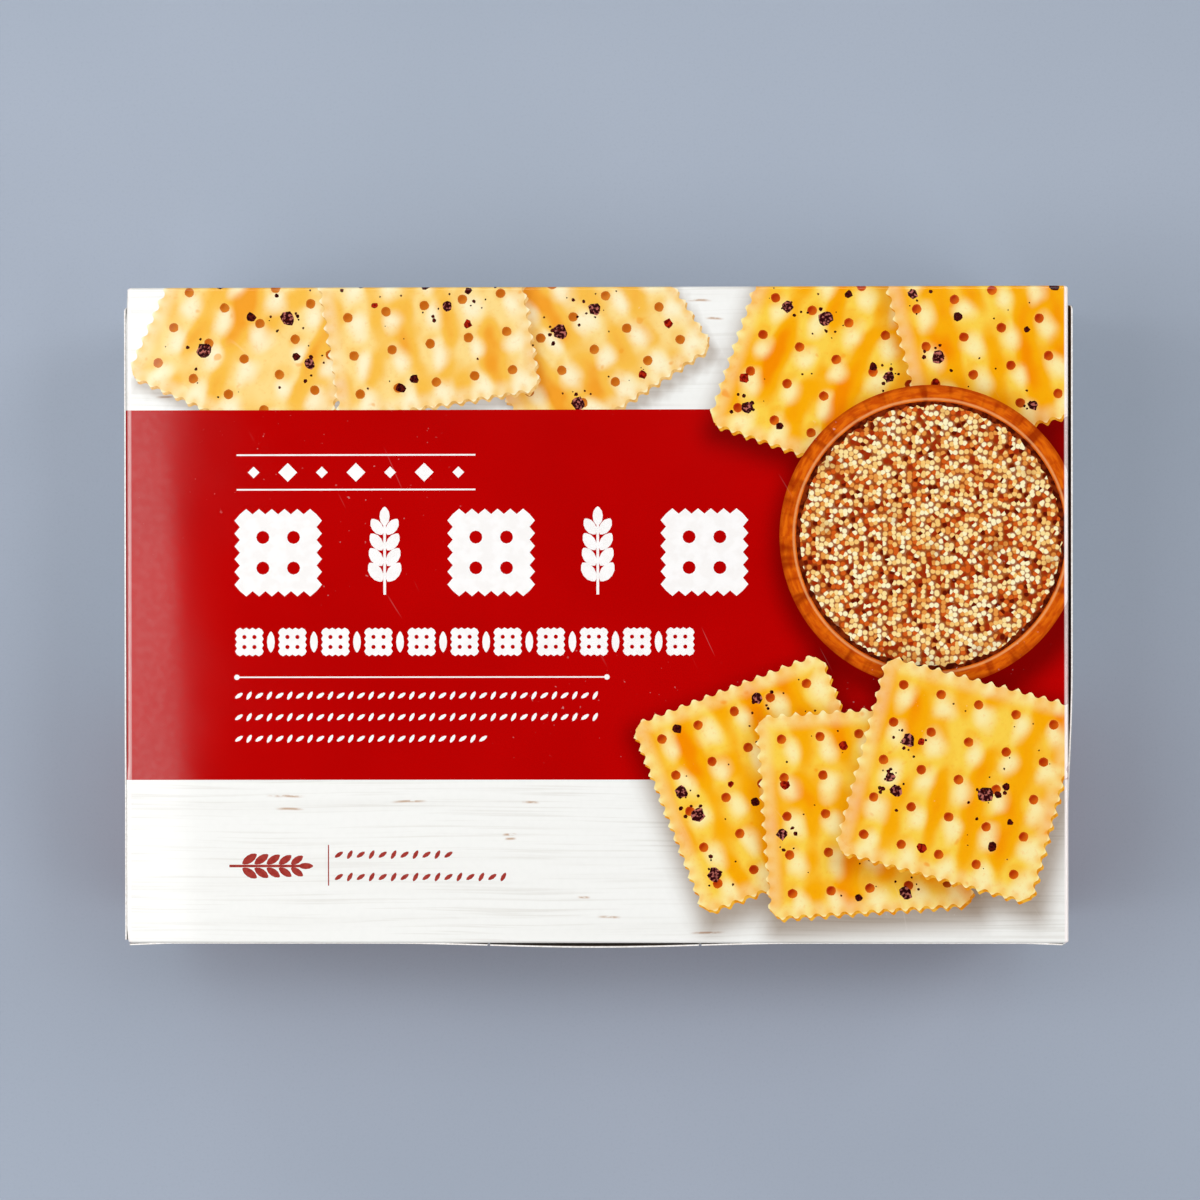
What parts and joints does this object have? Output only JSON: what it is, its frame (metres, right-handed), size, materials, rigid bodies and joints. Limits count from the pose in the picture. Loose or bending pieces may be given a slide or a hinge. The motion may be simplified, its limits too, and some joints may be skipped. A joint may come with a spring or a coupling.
{
  "type": "cracker carton",
  "caption": "Shut rectangular paperboard carton for crackers, lying on its back panel, with rounded folds, glued end flaps and a long side flap with a thumb tab.",
  "frame": {"origin": "on the ground, below the middle of the carton's overall box", "axes": "+X along the front panel's long side, +Y towards the front panel's upper edge, +Z out of the front panel"},
  "size_m": [0.2424, 0.1686, 0.066],
  "materials": {
    "printed_board": "gloss varnish over offset print, white board at the cut edges"
  },
  "bodies": {
    "root": {"carton": "printed_board"}
  },
  "joints": []
}
